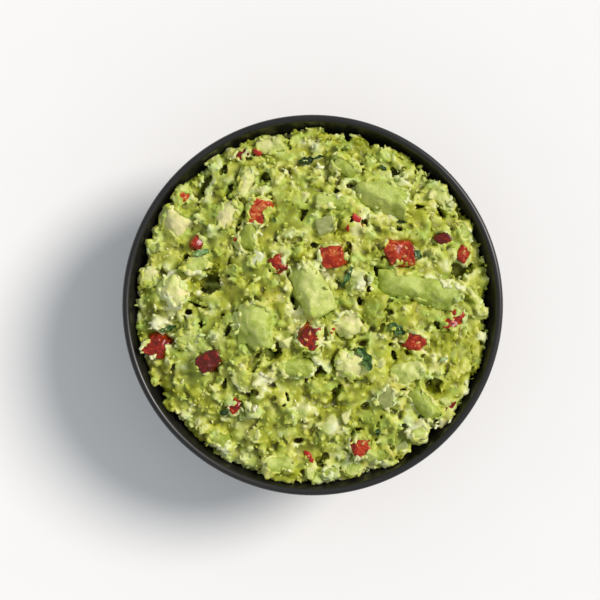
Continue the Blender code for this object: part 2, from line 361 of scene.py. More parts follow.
def soft_max(values, melt):
    """Largest of the values along the first axis, its creases rounded to about the size melt."""
    top = values.max(axis=0)
    return top + melt * np.log(np.exp((values - top) / melt).sum(axis=0))


# Ways spread evenly over a ball, for the faces of a stone
GOLDEN_ANGLE = 2.39996
SIDES = 10
SPREAD = np.array([
    (math.cos(GOLDEN_ANGLE * k) * math.sqrt(1 - h * h), math.sin(GOLDEN_ANGLE * k) * math.sqrt(1 - h * h), h)
    for k, h in ((k, 1 - (2 * k + 1) / SIDES) for k in range(SIDES))
])


def turned(rng):
    """A random rotation as three rows."""
    w, x, y, z = rng.standard_normal(4)
    return np.array(Quaternion((w, x, y, z)).normalized().to_matrix())


def outside_faces(normals, offsets, x, y, z):
    """How far places are outside each of some flat faces."""
    return np.stack([a * x + b * y + (c * z - d) for (a, b, c), d in zip(normals, offsets)])


def add_shard(field, centre, radius, tint, rng, melt, stretch, blunt=0.1):
    """Joins on a rough stone of ten flat faces, stretched along its own axes."""
    where, place = field.near(centre, radius * 1.5)
    if where is None:
        return
    normals = SPREAD + rng.normal(0, 0.22, SPREAD.shape)
    normals = normals @ turned(rng) / stretch @ turned(rng)
    length = np.linalg.norm(normals, axis=1)
    offsets = radius * rng.uniform(0.55, 0.95, len(normals)) / length
    normals /= length[:, None]
    sides = outside_faces(normals, offsets, *(axis - c for axis, c in zip(place, centre)))
    field.add(where, soft_max(sides.astype(np.float32), blunt * radius), tint, melt)


def place_object(name, data):
    obj = bpy.data.objects.new(name, data)
    bpy.context.scene.collection.objects.link(obj)
    return obj


def mesh_object(name, points, faces, material):
    """A smooth object of triangles."""
    mesh = bpy.data.meshes.new(name)
    mesh.vertices.add(len(points))
    mesh.vertices.foreach_set("co", np.asarray(points, np.float32).ravel())
    mesh.loops.add(3 * len(faces))
    mesh.loops.foreach_set("vertex_index", np.asarray(faces, np.int32).ravel())
    mesh.polygons.add(len(faces))
    mesh.polygons.foreach_set("loop_start", np.arange(0, 3 * len(faces), 3, dtype=np.int32))
    mesh.update(calc_edges=True)
    mesh.shade_smooth()
    mesh.materials.append(material)
    return place_object(name, mesh)


def turned_object(name, profile, turns, material):
    """A smooth object of a profile of radii and heights, turned about Z."""
    bm = bmesh.new()
    corners = [bm.verts.new((radius * MM, 0.0, z * MM)) for radius, z in profile]
    edges = [bm.edges.new(pair) for pair in zip(corners, corners[1:])]
    bmesh.ops.spin(bm, geom=corners + edges, axis=(0, 0, 1), cent=(0, 0, 0), steps=turns, angle=2 * math.pi)
    bmesh.ops.remove_doubles(bm, verts=bm.verts, dist=WELD)
    bmesh.ops.recalc_face_normals(bm, faces=bm.faces)
    mesh = bpy.data.meshes.new(name)
    bm.to_mesh(mesh)
    bm.free()
    mesh.shade_smooth()
    mesh.materials.append(material)
    return place_object(name, mesh)


def add_attribute(obj, name, values):
    """A number at each point, for the shaders to read."""
    attribute = obj.data.attributes.new(name, "FLOAT", "POINT")
    attribute.data.foreach_set("value", np.asarray(values, np.float32))


def decimate(obj, faces):
    """Fewer faces, where the surface is flattest."""
    count = len(obj.data.polygons)
    if count <= faces:
        return
    modifier = obj.modifiers.new("Fewer", "DECIMATE")
    modifier.ratio = faces / count
    bpy.context.view_layer.objects.active = obj
    bpy.ops.object.modifier_apply(modifier=modifier.name)


# ---- forms of the CAD


def side_radius(z, base_z, base_radius, top_radius):
    """Radius of a side of the bowl at a height: part ellipse, part cone."""
    t = np.clip((z - base_z) / (LIP_Z - base_z), 0.0, 1.0)
    ellipse = np.sqrt(1.0 - (1.0 - t) ** 2)
    return base_radius + (top_radius - base_radius) * ((1.0 - CONE_SHARE) * ellipse + CONE_SHARE * t)


def inner_radius(z):
    """Radius of the inside of the bowl's wall at a height."""
    return side_radius(z, FLOOR_HEIGHT, FLOOR_RADIUS, RIM_RADIUS - WALL)


def heap_height(x, y):
    """Height of the top of the heap: a dome with swells and two sizes of lumps."""
    share = min(1.0, math.hypot(x, y) / HEAP_RADIUS)
    height = BOWL_HEIGHT - SHOULDER_DEPTH + (CROWN_HEIGHT + SHOULDER_DEPTH) * (1.0 - share**DOME_POWER)
    for cx, cy, radius, rise in SWELLS:
        distance = math.hypot(x - cx, y - cy) / radius
        height += rise * math.exp(-distance * distance)
    for layer, (size, rise) in enumerate(LUMPS):
        near = noise.voronoi(Vector((x / size, y / size, LUMP_SEED + layer)))[0]
        height += rise * (near[1] - near[0] - LUMP_MEAN)
    return height


def edge_radius(x, y):
    """Radius of the heap's uneven edge on the side of a place."""
    angle = math.atan2(y, x)
    wave = noise.noise(Vector((EDGE_WAVES * math.cos(angle), EDGE_WAVES * math.sin(angle), EDGE_SEED)))
    return HEAP_RADIUS + wave * 2.0 * EDGE_WAVE


class Block:
    """A convex CAD node: its box, in millimetres, and its main flat faces' normals and offsets."""

    def __init__(self, kind, number):
        self.kind = kind
        self.number = number
        self.node = f"{kind}_{number:02d}"
        low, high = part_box(self.node)
        self.low, self.high = np.array(low) / MM, np.array(high) / MM
        self.centre = (self.low + self.high) / 2
        self.reach = float(np.max(self.high - self.low)) / 2
        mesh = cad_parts[self.node].data
        self.corners = np.array([vertex.co for vertex in mesh.vertices]) / MM
        areas = {}
        for face in mesh.polygons:
            key = tuple(round(v * 5) for v in face.normal)
            normal, area = areas.get(key, (face.normal, 0.0))
            areas[key] = (normal, area + face.area)
        main = sorted(areas.values(), key=lambda found: -found[1])[:MAIN_FACES]
        self.normals = np.array([normal for normal, _ in main])
        self.offsets = (self.corners @ self.normals.T).max(axis=0)

    def shave(self, rng, count, depths):
        """Adds flat cuts across its corners, as deep as these shares of its reach that way."""
        for _ in range(count):
            normal = rng.standard_normal(3)
            normal /= np.linalg.norm(normal)
            across = (self.corners - self.centre) @ normal
            offset = across.max() * (1 - rng.uniform(*depths)) + self.centre @ normal
            self.normals = np.vstack([self.normals, normal])
            self.offsets = np.append(self.offsets, offset)

    def roof(self, turn, slope, other):
        """Slopes the top down both ways from a ridge over its middle."""
        for angle, fall in ((turn, slope), (turn + 180.0, other)):
            level, steep = math.radians(angle), math.radians(fall)
            normal = np.array((
                math.cos(level) * math.sin(steep), math.sin(level) * math.sin(steep), math.cos(steep)
            ))
            top = np.array((self.centre[0], self.centre[1], self.high[2] - 0.4))
            self.normals = np.vstack([self.normals, normal])
            self.offsets = np.append(self.offsets, normal @ top)

    def inward(self, x, y, z):
        """How far places are inside the outline seen from above, at or under its middle height."""
        return -self.sides(x, y, np.minimum(z, self.centre[2])).max(axis=0)

    def sides(self, x, y, z):
        """How far places are outside each face."""
        return outside_faces(self.normals, self.offsets, x, y, z)


# ---- materials


def srgb(code):
    """Linear colour of a six-digit sRGB code."""
    values = [int(code[i : i + 2], 16) / 255 for i in (1, 3, 5)]
    return (*[v / 12.92 if v <= 0.04045 else ((v + 0.055) / 1.055) ** 2.4 for v in values], 1.0)


def set_inputs(node, **values):
    """Constants on a node's own sockets. An underscore stands for a space in a socket's name."""
    for name, value in values.items():
        node.inputs[name.replace("_", " ")].default_value = value


class Shader:
    """A Principled material and short calls for the nodes that feed it."""

    def __init__(self, name, **constants):
        self.material = bpy.data.materials.new(name)
        self.material.use_nodes = True
        self.nodes = self.material.node_tree.nodes
        self.links = self.material.node_tree.links
        self.shader = self.nodes["Principled BSDF"]
        set_inputs(self.shader, **constants)

    def put(self, source, target):
        self.links.new(source, target)

    def noise(self, scale, detail=3.0, roughness=0.5, distortion=0.0):
        coordinates = self.nodes.new("ShaderNodeTexCoord")
        texture = self.nodes.new("ShaderNodeTexNoise")
        set_inputs(texture, Scale=scale, Detail=detail, Roughness=roughness, Distortion=distortion)
        self.put(coordinates.outputs["Object"], texture.inputs["Vector"])
        return texture.outputs["Fac"]

    def attribute(self, name):
        node = self.nodes.new("ShaderNodeAttribute")
        node.attribute_name = name
        return node.outputs["Fac"]

    def add(self, first, second):
        node = self.nodes.new("ShaderNodeMath")
        node.operation = "ADD"
        self.put(first, node.inputs[0])
        self.put(second, node.inputs[1])
        return node.outputs[0]

    def span(self, value, low, high, to_low, to_high):
        """The value's span from low to high laid over another, and held at its ends."""
        node = self.nodes.new("ShaderNodeMapRange")
        self.put(value, node.inputs["Value"])
        set_inputs(node, From_Min=low, From_Max=high, To_Min=to_low, To_Max=to_high)
        return node.outputs["Result"]

    def vary(self, value, source, low, high, change):
        """The value plus -change to change, as the source goes from low to high."""
        return self.add(value, self.span(source, low, high, -change, change))

    def stain_and_shade(self, base, source, low, high, most, code):
        """The base colour with none to most of another, as the source goes from low to high. It lays patches
        of the food's own colour, and painted shade where the source is how hollow a place is.
        """
        node = self.nodes.new("ShaderNodeMix")
        node.data_type = "RGBA"
        share, first, second = node.inputs[0], node.inputs[6], node.inputs[7]
        self.put(self.span(source, low, high, 0.0, most), share)
        self.put(base, first)
        second.default_value = srgb(code)
        return node.outputs[2]

    def ramp(self, value, *stops):
        """A colour from (place, code) stops."""
        node = self.nodes.new("ShaderNodeValToRGB")
        elements = node.color_ramp.elements
        while len(elements) < len(stops):
            elements.new(1.0)
        for element, (place, code) in zip(elements, stops):
            element.position = place
            element.color = srgb(code)
        self.put(value, node.inputs["Fac"])
        return node.outputs["Color"]

    def color(self, value):
        self.put(value, self.shader.inputs["Base Color"])

    def roughness(self, value):
        self.put(value, self.shader.inputs["Roughness"])

    def bump(self, height, strength, depth):
        """Relief of the given depth in millimetres."""
        node = self.nodes.new("ShaderNodeBump")
        set_inputs(node, Strength=strength, Distance=depth * MM)
        self.put(height, node.inputs["Height"])
        self.put(node.outputs["Normal"], self.shader.inputs["Normal"])


def bowl_material():
    made = Shader("charcoal_melamine", IOR=1.5)
    grain = made.noise(900.0, detail=4.0)
    wear = made.noise(60.0, detail=3.0)
    made.color(made.ramp(wear, (0.3, "#181716"), (0.7, "#201E1C")))
    made.roughness(made.span(wear, 0.3, 0.7, 0.30, 0.40))
    made.bump(grain, 0.25, 0.02)
    return made.material


def mash_material(name, scatter):
    made = Shader(
        name, Subsurface_Weight=scatter, Subsurface_Radius=(1.0, 0.9, 0.4), Subsurface_Scale=0.0004, IOR=1.42
    )
    fine = made.noise(1100.0, detail=4.0, roughness=0.65)
    broad = made.noise(130.0, detail=2.0)
    patches = made.noise(48.0, detail=2.0)
    around = made.attribute("hollow")
    tint = made.vary(made.attribute("tint"), fine, 0.3, 0.7, 0.13)
    tint = made.vary(tint, broad, 0.3, 0.7, 0.22)
    # Painted light and shade: the tint is made paler on crests, where little matter is around, and darker in
    # hollows. Loose crumbs have no hollow number, so they read 0 and take the paler crest tone.
    tint = made.add(tint, made.span(around, 0.30, 0.62, 0.12, -0.22))
    tint = made.vary(tint, made.noise(80.0, detail=1.0), 0.35, 0.65, 0.22)
    flesh = made.ramp(
        tint, (0.0, "#90941A"), (0.3, "#B5B936"), (0.55, "#D1D16A"), (0.8, "#E2E2A0"), (1.0, "#E7E6BA")
    )
    flesh = made.stain_and_shade(flesh, patches, 0.42, 0.66, 0.45, "#A7BE54")
    flesh = made.stain_and_shade(flesh, made.noise(210.0, detail=2.0), 0.48, 0.66, 0.42, "#ABCF6C")
    flesh = made.stain_and_shade(flesh, made.noise(150.0, detail=3.0), 0.56, 0.70, 0.40, "#CCBC5C")
    # Painted shade: hollows are turned darker olive, and the deepest ones almost brown-black.
    flesh = made.stain_and_shade(flesh, around, 0.38, 0.58, 0.45, "#9A9E18")
    made.color(made.stain_and_shade(flesh, around, 0.50, 0.79, 1.0, "#453D10"))
    made.roughness(made.span(broad, 0.35, 0.65, 0.32, 0.54))
    made.bump(fine, 0.5, 0.3)
    return made.material


def avocado_material(name, scatter):
    made = Shader(
        name, Subsurface_Weight=scatter, Subsurface_Radius=(1.0, 0.9, 0.4), Subsurface_Scale=0.0006, IOR=1.42
    )
    fine = made.noise(900.0, detail=4.0, roughness=0.6)
    broad = made.noise(170.0, detail=4.0, roughness=0.6, distortion=1.2)
    tint = made.vary(made.attribute("tint"), broad, 0.3, 0.7, 0.28)
    flesh = made.ramp(
        tint, (0.0, "#94A232"), (0.25, "#A8B84A"), (0.5, "#C0CA6A"), (0.75, "#D9DA8C"), (1.0, "#E6DC9E")
    )
    flesh = made.stain_and_shade(flesh, fine, 0.60, 0.72, 0.35, "#E6E8B0")
    smear = made.noise(260.0, detail=3.0)
    flesh = made.stain_and_shade(flesh, smear, 0.50, 0.64, 0.45, "#C4CC72")
    # Painted shade: the hollows of a piece are turned darker green.
    made.color(made.stain_and_shade(flesh, made.attribute("hollow"), 0.55, 0.8, 1.0, "#74812E"))
    made.roughness(made.span(broad, 0.35, 0.65, 0.34, 0.50))
    made.bump(made.add(smear, fine), 0.7, 0.5)
    return made.material


def tomato_material():
    made = Shader(
        "tomato", Subsurface_Weight=0.15, Subsurface_Radius=(1.0, 0.4, 0.2), Subsurface_Scale=0.0004,
        IOR=1.40, Coat_Weight=0.15, Coat_Roughness=0.08,
    )
    pulp = made.noise(380.0, detail=4.0, roughness=0.6, distortion=1.2)
    painted_glints = made.noise(900.0, detail=2.0)
    tint = made.vary(made.attribute("tint"), pulp, 0.35, 0.65, -0.24)
    # Painted glints: small pale spots stand in for highlights on the wet pulp.
    tint = made.add(tint, made.span(painted_glints, 0.55, 0.70, 0.0, -0.30))
    made.color(made.ramp(
        tint, (0.0, "#DDA266"), (0.20, "#CB6C34"), (0.40, "#B4380E"), (0.62, "#981E02"), (0.82, "#761803"),
        (1.0, "#561406"),
    ))
    made.roughness(made.span(pulp, 0.3, 0.7, 0.16, 0.36))
    made.bump(pulp, 0.6, 0.35)
    return made.material


def seed_material():
    made = Shader("seed", IOR=1.42, Coat_Weight=0.6, Coat_Roughness=0.05)
    husk = made.noise(1100.0, detail=2.0)
    made.color(made.ramp(husk, (0.3, "#B8662A"), (0.5, "#CC8C48"), (0.7, "#DDB474")))
    made.roughness(made.span(husk, 0.3, 0.7, 0.15, 0.30))
    made.bump(husk, 0.3, 0.1)
    return made.material


def onion_material(name, scatter):
    made = Shader(
        name, Subsurface_Weight=scatter, Subsurface_Radius=(1.0, 1.0, 0.7), Subsurface_Scale=0.002,
        IOR=1.4, Coat_Weight=0.25, Coat_Roughness=0.1,
    )
    layers = made.noise(300.0, detail=2.0, distortion=0.8)
    tint = made.vary(made.attribute("tint"), layers, 0.3, 0.7, 0.2)
    made.color(made.ramp(tint, (0.0, "#868A40"), (0.4, "#A6AC66"), (0.7, "#C6CC94"), (1.0, "#DCE0B4")))
    made.roughness(made.span(layers, 0.3, 0.7, 0.18, 0.30))
    made.bump(layers, 0.4, 0.2)
    return made.material


def leaf_material():
    made = Shader("leaf", IOR=1.42)
    veins = made.noise(700.0, detail=3.0, distortion=0.5)
    tint = made.vary(made.attribute("tint"), veins, 0.3, 0.7, 0.25)
    made.color(made.ramp(tint, (0.0, "#1A300C"), (0.35, "#30501A"), (0.7, "#648C48"), (1.0, "#B0C68A")))
    made.roughness(made.span(veins, 0.3, 0.7, 0.22, 0.42))
    made.bump(veins, 0.6, 0.2)
    return made.material


def floor_material():
    made = Shader("pale_floor", Roughness=0.8, Specular_IOR_Level=0.0)
    grain = made.noise(40.0)
    made.color(made.ramp(grain, (0.0, "#F4F2F0"), (1.0, "#F6F4F2")))
    return made.material


# ---- bowl


def build_bowl():
    """The CAD's profile with finer steps, turned about Z."""
    rings = np.linspace(0, 1, 36) ** CROWDING
    inside_z = FLOOR_HEIGHT + (LIP_Z - FLOOR_HEIGHT) * rings
    outside_z = FOOT_HEIGHT + (LIP_Z - FOOT_HEIGHT) * rings
    inside = [(inner_radius(z), z) for z in inside_z]
    outside = [(side_radius(z, FOOT_HEIGHT, FOOT_RADIUS, RIM_RADIUS), z) for z in outside_z]
    half = WALL / 2
    bend = np.linspace(math.pi, 0, 16)[1:-1]
    lip = [(RIM_RADIUS - half + half * math.cos(a), LIP_Z + half * math.sin(a)) for a in bend]
    foot = [(FOOT_RADIUS - 0.1, 0.5), (FOOT_RADIUS - 0.4, 0.15), (FOOT_RADIUS - 0.9, 0.0)]
    profile = [(0.0, FLOOR_HEIGHT)] + inside + lip + outside[::-1] + foot + [(0.0, 0.0)]
    bowl = turned_object("bowl_turned", profile, BOWL_TURNS, bowl_material())
    keep(bowl, "charcoal", "bowl")


def keep(obj, slot, *nodes):
    """Gives a piece its body and hides the CAD nodes that it stands for. The slot is not used."""
    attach(obj, "root")
    if nodes:
        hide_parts(*nodes)


# ---- mash


def over_grid(form, xs, ys):
    """form(x, y) over a grid, worked out at every third sample and filled in between."""
    few_x, few_y = xs[::3], ys[::3]
    rows = np.array([[form(x, y) for y in few_y] for x in few_x])
    rows = np.array([np.interp(ys, few_y, row) for row in rows])
    return np.array([np.interp(xs, few_x, column) for column in rows.T]).T.astype(np.float32)


def start_mash():
    """The paste under the lumps: the CAD's heap, a little lower."""
    reach = RIM_RADIUS - 2.0
    field = Field((-reach, -reach, MASH_BOTTOM), (reach, reach, MASH_TOP), STEP)
    xs, ys, zs = (field.axis(k) for k in range(3))
    height, edge = (over_grid(form, xs, ys) for form in (heap_height, edge_radius))
    slope = np.gradient(height, STEP)
    steep = np.sqrt(1 + slope[0] ** 2 + slope[1] ** 2)
    radius = np.hypot(xs[:, None], ys[None, :])
    wall = inner_radius(zs) - WALL_GAP
    top = (zs[None, None, :] - (height - PASTE_DEPTH)[:, :, None]) / steep[:, :, None]
    fall = np.clip((zs - CONTACT_Z) / (BOWL_HEIGHT - CONTACT_Z), 0, 1)
    side = wall - (wall - (HEAP_RADIUS - 2.5)) * fall**0.6
    outer = (radius - (edge - HEAP_RADIUS))[:, :, None] - side[None, None, :]
    field.distance = np.maximum(top, outer).astype(np.float32)
    field.tint += PASTE_TINT
    return field, height


def heap_at(field, height, x, y):
    """Height of the heap at a place, from its grid."""
    i, j = ((v - low) / STEP for v, low in zip((x, y), field.low))
    return height[int(i), int(j)]


def hex_places(radius, spacing, rng):
    """Places on a disc, evenly apart but each a little off."""
    rows = int(radius / (spacing * 0.866)) + 1
    for row in range(-rows, rows + 1):
        for column in range(-rows, rows + 1):
            x = (column + 0.5 * (row % 2)) * spacing + rng.uniform(-0.4, 0.4) * spacing
            y = row * spacing * 0.866 + rng.uniform(-0.4, 0.4) * spacing
            if math.hypot(x, y) < radius:
                yield x, y


def under_block(blocks, x, y, z, margin):
    """Whether a place is inside a piece or over it."""
    for block in blocks:
        if abs(x - block.centre[0]) > block.reach + margin or abs(y - block.centre[1]) > block.reach + margin:
            continue
        if block.inward(x, y, z) > -margin:
            return True
    return False


def add_lumps(field, height, blocks, rng):
    """Clods and lumps on the paste, level with the CAD's heap."""
    for spacing, sizes, melt, uneven, blunt, mixed in LUMP_LAYERS:
        for x, y in hex_places(HEAP_RADIUS + 1.0, spacing, rng):
            radius = rng.uniform(*sizes)
            rim = math.hypot(x, y) / (edge_radius(x, y) + 2.0 - radius * 0.7)
            if rim > 1:
                x, y = x / rim, y / rim
            z = heap_at(field, height, x, y) + 0.1 - radius * 0.66 + rng.uniform(-uneven, uneven)
            if rng.random() < SKIPPED_LUMPS or under_block(blocks, x, y, z, margin=0.2):
                continue
            tint = np.clip(rng.normal(0.44, mixed), 0, 0.85)
            stretch = (1.15, rng.uniform(0.8, 1.0), rng.uniform(0.65, 0.9))
            add_shard(field, np.array((x, y, z)), radius, tint, rng, melt, stretch, blunt)


def surface_samples(field, spacing, rng, low):
    """Places on the surface above low, about spacing apart, in a random order."""
    found = np.argwhere(np.abs(field.distance) < 0.5 * field.step)
    places = found * field.step + field.low
    places = places[places[:, 2] > low]
    places = places[rng.permutation(len(places))]
    cells = np.floor(places / spacing).astype(int)
    _, first = np.unique(cells, axis=0, return_index=True)
    return places[np.sort(first)]


def add_grains(field, blocks, rng, spacing, sizes, melt, sink):
    """Grains sunk in the clods, close together in patches."""
    for place in surface_samples(field, spacing, rng, low=44.0):
        if noise.noise(Vector(place * 0.22)) + rng.uniform(-0.5, 0.5) < -0.12:
            continue
        radius = rng.uniform(*sizes)
        if under_block(blocks, *place, margin=radius * 0.2):
            continue
        if math.hypot(place[0], place[1]) > edge_radius(place[0], place[1]) + 2.0:
            continue
        tint = np.clip(field.tint[field.index(place)] + rng.normal(0.02, 0.09), 0, 0.9)
        centre = place + rng.uniform(-0.3, 0.3, 3) * radius - (0, 0, sink * radius)
        add_shard(field, centre, radius, tint, rng, melt, (1.3, 0.95, 0.7))


def cut_hollow(field, rough, place, turn, half_length, half_width, half_depth):
    """Takes a hollow with rough walls out of the mash."""
    where, axes = field.near(place, max(half_length, half_depth) * 1.4)
    if where is None:
        return
    x, y, z = (axis - c for axis, c in zip(axes, place))
    along = x * math.cos(turn) + y * math.sin(turn)
    across = y * math.cos(turn) - x * math.sin(turn)
    size = np.sqrt((along / half_length) ** 2 + (across / half_width) ** 2 + (z / half_depth) ** 2)
    field.cut(where, (size - 1) * half_width + rough[where], 0.3)


def cut_hollows(field, height, rng):
    """A few small hollows at random, then the clefts."""
    rough = HOLLOW_ROUGHNESS * cloud(field.shape, 4.0, rng)
    for place in surface_samples(field, HOLLOW_SPACING, rng, low=50.0):
        if rng.random() < SKIPPED_HOLLOWS:
            continue
        width = rng.uniform(0.5, 0.9)
        length = width * rng.uniform(1.2, 4.5)
        cut_hollow(field, rough, place, rng.uniform(0, math.pi), length, width, rng.uniform(1.4, 2.8))
    for x, y, length, width, turn, depth in CLEFTS:
        place = np.array((x, y, heap_at(field, height, x, y) + 0.6))
        half_size = (length * CLEFT_LENGTH, width * CLEFT_WIDTH, depth + CLEFT_SINK)
        cut_hollow(field, rough, place, math.radians(turn), *half_size)


def clear_over(field, block):
    """Takes away the mash that hides a piece from above."""
    where, place = field.near(block.centre + (0, 0, 3.0), block.reach + 3.0)
    field.cut(where, 0.5 - block.inward(*place), 0.6)


def add_coats(field, pieces, rng):
    """Mash that sticks to the pieces, most of it along their edges."""
    for block, piece, coat in pieces:
        for place in surface_samples(piece, 1.1, rng, low=block.centre[2] - 1.0):
            patch = 0.5 + 0.9 * noise.noise(Vector(place * 0.24))
            if patch > coat * (2.0 - 0.8 * block.inward(*place)):
                continue
            radius = rng.uniform(0.6, 1.35)
            tint = np.clip(rng.normal(0.5, 0.18), 0, 1)
            add_shard(field, place - (0, 0, 0.3 * radius), radius, tint, rng, 0.45, (1.4, 0.9, 0.55))


def trim_to_bowl(field):
    """Keeps the mash off the bowl's wall and inside the height of the CAD."""
    x, y, z = field.axis(0)[:, None], field.axis(1)[None, :], field.axis(2)
    outside = np.hypot(x, y)[:, :, None] - (inner_radius(z) - WALL_GAP)
    level = np.maximum(MASH_BOTTOM + END_GAP - z, z - (MASH_TOP - END_GAP))
    field.distance = np.maximum(field.distance, np.maximum(outside, level)).astype(np.float32)


def build_mash(blocks, pieces):
    """The part of the mash that shows, with a socket for each cut piece."""
    rng = np.random.default_rng(11)
    field, height = start_mash()
    add_lumps(field, height, blocks, rng)
    for block in blocks:
        clear_over(field, block)
    field.distance = box_blur(field.distance, 2)
    field.distance += COARSE_ROUGHNESS * cloud(field.shape, 5.0, rng)
    add_grains(field, blocks, rng, *COARSE_GRAINS)
    cut_hollows(field, height, rng)
    add_grains(field, blocks, rng, *FINE_GRAINS)
    add_coats(field, pieces, rng)
    field.distance += FINE_ROUGHNESS * cloud(field.shape, 2.4, rng)
    for block in blocks:
        where, place = field.near(block.centre, block.reach + 1.0)
        field.cut(where, block.sides(*place).max(axis=0) + SOCKET_DEPTH, 0.2)
    trim_to_bowl(field)
    mash = field.mesh("mash_core", mash_material("mash", 0.2), MASH_FACES, MASH_HOLLOW)
    keep(mash, "mash", "guacamole")
    return field


def top_heights(field):
    """Height of the top of the matter over each column of samples."""
    matter = field.distance < 0
    highest = field.shape[2] - 1 - np.argmax(matter[:, :, ::-1], axis=2)
    return np.where(matter.any(axis=2), field.low[2] + field.step * highest, MASH_BOTTOM)


def height_at(field, tops, x, y):
    """Those heights at places, from the nearest column."""
    i = np.round((x - field.low[0]) / field.step).astype(int).clip(0, field.shape[0] - 1)
    j = np.round((y - field.low[1]) / field.step).astype(int).clip(0, field.shape[1] - 1)
    return tops[i, j]


def build_under():
    """The part of the mash that the bowl hides."""
    deep = MASH_BOTTOM + 2.0 - FLOOR_HEIGHT
    zs = FLOOR_HEIGHT + WALL_GAP + deep * np.linspace(0, 1, 12) ** CROWDING
    profile = [(0.0, zs[0])] + [(inner_radius(z) - WALL_GAP, z) for z in zs] + [(0.0, zs[-1])]
    under = turned_object("mash_under", profile, UNDER_TURNS, bpy.data.materials["mash"])
    keep(under, "mash", "guacamole")


# ---- cut pieces


def piece_field(block, step, melt, wave, rng):
    """The block's faces with rounded edges and slight waves, kept inside the CAD node's box."""
    field = Field(block.low - PIECE_MARGIN, block.high + PIECE_MARGIN, step)
    place = np.meshgrid(*(field.axis(k) for k in range(3)), indexing="ij")
    sides = block.sides(*place).astype(np.float32)
    field.distance = soft_max(sides, melt)
    field.distance += wave * cloud(field.shape, 2.5 / step, rng)
    field.distance += wave * 0.5 * cloud(field.shape, 1.1 / step, rng)
    box = [np.maximum(low - p, p - high) for low, p, high in zip(block.low, place, block.high)]
    field.distance = np.maximum(field.distance, np.max(box, axis=0)).astype(np.float32)
    return field, sides, place


def avocado_tint(block, place, pale, rng):
    """Paler one way across the piece."""
    way = rng.standard_normal(3) * (1, 1, 0.6)
    way /= np.linalg.norm(way)
    along = sum(w * (p - c) for w, p, c in zip(way, place, block.centre)) / block.reach
    return pale + 0.16 * along


def tomato_tint(sides, dark, rng):
    """Each face with its own tone, one of them pale."""
    tones = dark + rng.normal(0, 0.13, len(sides))
    tones[rng.integers(6)] -= 0.3
    shares = np.exp((sides - sides.max(axis=0)) / 0.35)
    return np.tensordot(tones, shares, axes=1) / shares.sum(axis=0)


def shape_piece(block):
    """A cut piece's field, and how much mash sticks to it."""
    looks, seed, cuts, depths, step, melt, wave = KINDS[block.kind]
    tone, coat = looks[block.number - 1]
    rng = np.random.default_rng([seed, block.number])
    block.shave(rng, cuts, depths)
    if block.kind == "avocado":
        plain = (rng.uniform(0, 360), rng.uniform(8, 26), rng.uniform(0, 14))
        block.roof(*RIDGES.get(block.number, plain))
    field, sides, place = piece_field(block, step, melt, wave, rng)
    if block.kind == "avocado":
        tone = avocado_tint(block, place, tone, rng)
    elif block.kind == "tomato":
        tone = tomato_tint(sides, tone, rng)
    field.tint = (field.tint + tone).astype(np.float32)
    return field, coat


def build_pieces(pieces):
    """Meshes the cut pieces, each in place of its CAD node."""
    materials = {
        "avocado": avocado_material("avocado", 0.3),
        "tomato": tomato_material(),
        "onion": onion_material("onion", 0.5),
    }
    for block, field, _ in pieces:
        piece = field.mesh(f"{block.node}_cut", materials[block.kind], PIECE_FACES, PIECE_HOLLOW)
        keep(piece, block.kind, block.node)


# ---- loose things


def unit_ball(subdivisions):
    """Points and triangles of a ball."""
    bm = bmesh.new()
    bmesh.ops.create_icosphere(bm, subdivisions=subdivisions, radius=1.0)
    points = np.array([vertex.co for vertex in bm.verts])
    faces = np.array([[vertex.index for vertex in face.verts] for face in bm.faces])
    bm.free()
    return points, faces


def stone(ball, radius, stretch, rng):
    """The points of a ball pressed against ten random planes."""
    normals = SPREAD + rng.normal(0, 0.25, SPREAD.shape)
    normals = normals @ turned(rng)
    normals /= np.linalg.norm(normals, axis=1)[:, None]
    reach = rng.uniform(0.6, 1.0, len(normals)) / np.maximum(ball @ normals.T, 0.1)
    size = -soft_max(-reach.T, 0.05)
    return (ball * size[:, None] * radius * stretch) @ turned(rng)


def many_object(name, points, faces, material):
    """One object of many balls, given the points of each and the triangles of one."""
    joined = np.concatenate([faces + k * len(ball) for k, ball in enumerate(points)])
    return mesh_object(name, np.concatenate(points) * MM, joined, material)


def build_stones(name, material, slot, stones, subdivisions, stretch, rng):
    """One piece of many loose stones, given as place, radius and tint."""
    ball, faces = unit_ball(subdivisions)
    points = [place + stone(ball, radius, stretch, rng) for place, radius, _ in stones]
    obj = many_object(name, points, faces, material)
    add_attribute(obj, "tint", np.repeat([tint for _, _, tint in stones], len(ball)))
    keep(obj, slot)


def build_crumbs(field, blocks):
    """Loose crumbs of mash."""
    rng = np.random.default_rng(23)
    stones = []
    for place in surface_samples(field, 3.2, rng, low=46.0):
        radius = rng.uniform(0.4, 0.85)
        if rng.random() < SKIPPED_CRUMBS or under_block(blocks, *place, margin=0.2):
            continue
        if math.hypot(place[0], place[1]) > edge_radius(place[0], place[1]) + 0.5:
            continue
        tint = np.clip(field.tint[field.index(place)] - 0.05 + rng.normal(0, 0.1), 0, 0.8)
        stones.append((place - (0, 0, 0.3 * radius), radius, tint))
    crumbs = mash_material("crumbs", 0.0)
    build_stones("mash_crumbs", crumbs, "mash", stones, CRUMB_FINENESS, CRUMB_STRETCH, rng)


def build_bits(field, tops):
    """Small pieces of avocado, tomato and onion that lie loose in the mash."""
    rng = np.random.default_rng(29)
    tables = (
        ("avocado", AVOCADO_BITS, avocado_material("avocado_bits", 0.0)),
        ("tomato", TOMATO_BITS, bpy.data.materials["tomato"]),
        ("onion", ONION_BITS, onion_material("onion_bits", 0.0)),
    )
    for slot, table, material in tables:
        stones = []
        for x, y, radius, tint in table:
            z = height_at(field, tops, np.array(x), np.array(y)) - 0.2 * radius
            stones.append((np.array((x, y, z)), radius, tint))
        build_stones(f"{slot}_bits", material, slot, stones, BIT_FINENESS, BIT_STRETCH, rng)


